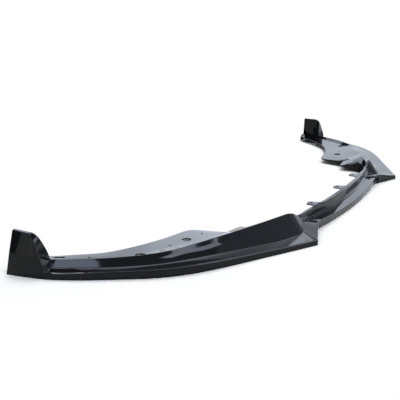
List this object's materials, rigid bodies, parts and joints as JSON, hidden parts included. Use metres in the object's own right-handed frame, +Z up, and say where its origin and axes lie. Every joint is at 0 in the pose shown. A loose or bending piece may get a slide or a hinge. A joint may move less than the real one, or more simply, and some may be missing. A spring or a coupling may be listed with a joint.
{
  "type": "front splitter lip",
  "caption": "Gloss black front splitter lip for a car bumper: a centre section and two side sections with raised fins, screw plates and end winglets.",
  "frame": {"origin": "middle of the bounding box, on the ground plane under the lip's lower edge", "axes": "+Z up, the car's front towards -Y, the car's left towards +X"},
  "size_m": [1.81, 0.5395, 0.098],
  "materials": {
    "gloss_black": "high gloss",
    "screw_steel": "black zinc"
  },
  "bodies": {
    "root": {"left_section": "gloss_black", "right_section": "gloss_black", "centre_section": "gloss_black", "joint_screws": "screw_steel"}
  },
  "joints": []
}
